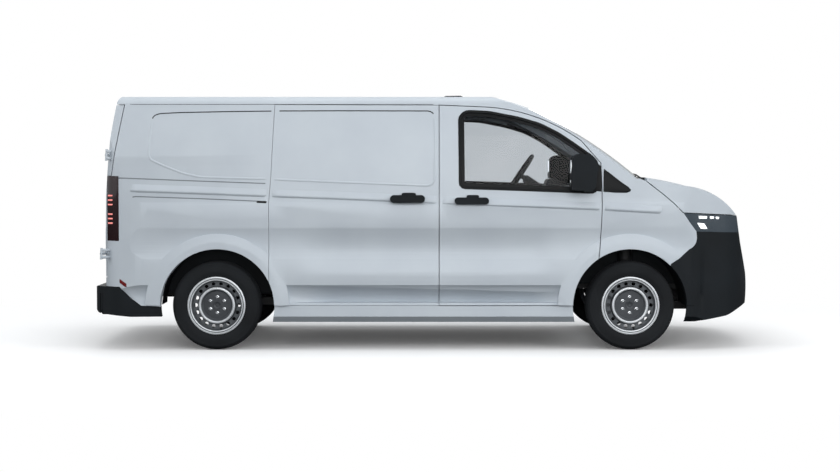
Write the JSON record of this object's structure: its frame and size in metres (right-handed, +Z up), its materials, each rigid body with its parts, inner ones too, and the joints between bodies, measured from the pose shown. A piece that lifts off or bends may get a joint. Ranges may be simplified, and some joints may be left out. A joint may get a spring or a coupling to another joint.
{
  "type": "panel van",
  "caption": "Panel van with hollow cab and load space, hinged front and rear doors, bonnet, steered front wheels and free-turning wheels; the sliding side door is fixed.",
  "frame": {"origin": "on the ground, midway between the front bumper and the rear step, on the centre line", "axes": "+X forwards, +Y to the van's left, +Z up"},
  "size_m": [5.0198, 2.274, 1.94],
  "materials": {
    "body_paint": "light silver-grey metallic paint, glossy",
    "black_plastic": "grained black plastic",
    "tyre": "black road tyre",
    "wheel_steel": "silver painted pressed steel",
    "glass": "clear green-tinted glass",
    "lamp_glass": "clear lamp lens over a bright reflector",
    "red_lamp": "red lamp lens",
    "chassis_black": "black chassis paint",
    "engine_iron": "bare casting",
    "seat_fabric": "dark grey woven seat cloth",
    "cab_plastic": "dark grey grained plastic",
    "floor_rubber": "ribbed black floor covering",
    "exhaust_steel": "dull stainless steel"
  },
  "bodies": {
    "body": {"floor_pan": "floor_rubber", "body_side_right": "body_paint", "body_side_left": "body_paint", "roof_panel": "body_paint", "sliding_door": "body_paint", "front_wing_right": "body_paint", "front_wing_left": "body_paint", "windscreen": "glass", "scuttle_panel": "black_plastic", "front_bumper": "black_plastic", "grille": "black_plastic", "slam_panel": "chassis_black", "head_lamps": "lamp_glass", "tail_lamps": "red_lamp", "rear_bumper": "body_paint", "rear_step": "black_plastic", "rear_frame": "body_paint", "wheel_houses": "black_plastic", "chassis_rails": "chassis_black", "front_suspension": "chassis_black", "rear_axle": "chassis_black", "engine_block": "engine_iron", "fuel_tank": "cab_plastic", "exhaust": "exhaust_steel", "dashboard": "cab_plastic", "driver_seat": "seat_fabric", "passenger_seat": "seat_fabric", "bulkhead": "cab_plastic", "roof_pod": "black_plastic", "sliding_door_handle": "black_plastic"},
    "steering": {"steering_wheel": "cab_plastic"},
    "bonnet": {"bonnet": "body_paint"},
    "front_door_right": {"front_door_right": "body_paint", "door_glass_right": "glass", "mirror_right": "black_plastic", "door_handle_right": "black_plastic"},
    "front_door_left": {"front_door_left": "body_paint", "door_glass_left": "glass", "mirror_left": "black_plastic", "door_handle_left": "black_plastic"},
    "rear_door_right": {"rear_door_right": "body_paint", "rear_door_handle": "black_plastic"},
    "rear_door_left": {"rear_door_left": "body_paint"},
    "knuckle_right": {"knuckle_right": "chassis_black"},
    "wheel_front_right": {"rim_front_right": "wheel_steel", "tyre_front_right": "tyre"},
    "wheel_rear_right": {"rim_rear_right": "wheel_steel", "tyre_rear_right": "tyre"},
    "knuckle_left": {"knuckle_left": "chassis_black"},
    "wheel_front_left": {"rim_front_left": "wheel_steel", "tyre_front_left": "tyre"},
    "wheel_rear_left": {"rim_rear_left": "wheel_steel", "tyre_rear_left": "tyre"}
  },
  "joints": [
    {"name": "steer_right", "type": "hinge", "parent": "body", "child": "knuckle_right", "pos_m": [1.541, -0.83, 0.333], "axis": [0, 0, 1], "range_deg": [-35, 35]},
    {"name": "steer_left", "type": "hinge", "parent": "body", "child": "knuckle_left", "pos_m": [1.541, 0.83, 0.333], "axis": [0, 0, 1], "range_deg": [-35, 35]},
    {"name": "spin_front_right", "type": "hinge", "parent": "knuckle_right", "child": "wheel_front_right", "pos_m": [1.541, -0.87, 0.333], "axis": [0, 1, 0], "continuous": true},
    {"name": "spin_rear_right", "type": "hinge", "parent": "body", "child": "wheel_rear_right", "pos_m": [-1.559, -0.87, 0.333], "axis": [0, 1, 0], "continuous": true},
    {"name": "spin_front_left", "type": "hinge", "parent": "knuckle_left", "child": "wheel_front_left", "pos_m": [1.541, 0.87, 0.333], "axis": [0, 1, 0], "continuous": true},
    {"name": "spin_rear_left", "type": "hinge", "parent": "body", "child": "wheel_rear_left", "pos_m": [-1.559, 0.87, 0.333], "axis": [0, 1, 0], "continuous": true},
    {"name": "front_door_right_hinge", "type": "hinge", "parent": "body", "child": "front_door_right", "pos_m": [1.322, -1.018, 0.8], "axis": [0, 0, 1], "range_deg": [0, 65]},
    {"name": "front_door_left_hinge", "type": "hinge", "parent": "body", "child": "front_door_left", "pos_m": [1.322, 1.018, 0.8], "axis": [0, 0, -1], "range_deg": [0, 65]},
    {"name": "rear_door_right_hinge", "type": "hinge", "parent": "body", "child": "rear_door_right", "pos_m": [-2.42, -0.952, 0.722], "axis": [0.0595, 0, 0.9982], "range_deg": [0, 180]},
    {"name": "rear_door_left_hinge", "type": "hinge", "parent": "body", "child": "rear_door_left", "pos_m": [-2.42, 0.952, 0.722], "axis": [-0.0595, 0, -0.9982], "range_deg": [0, 180]},
    {"name": "bonnet_hinge", "type": "hinge", "parent": "body", "child": "bonnet", "pos_m": [1.645, 0, 1.29], "axis": [0, -1, 0], "range_deg": [0, 50]},
    {"name": "steering_turn", "type": "hinge", "parent": "body", "child": "steering", "pos_m": [0.789, 0.385, 1.305], "axis": [-0.8314, 0, 0.5556], "range_deg": [-490, 490]}
  ],
  "couplings": [
    {"joint": "steer_left", "follows": "steer_right", "ratio": 1},
    {"joint": "steering_turn", "follows": "steer_right", "ratio": 14}
  ]
}
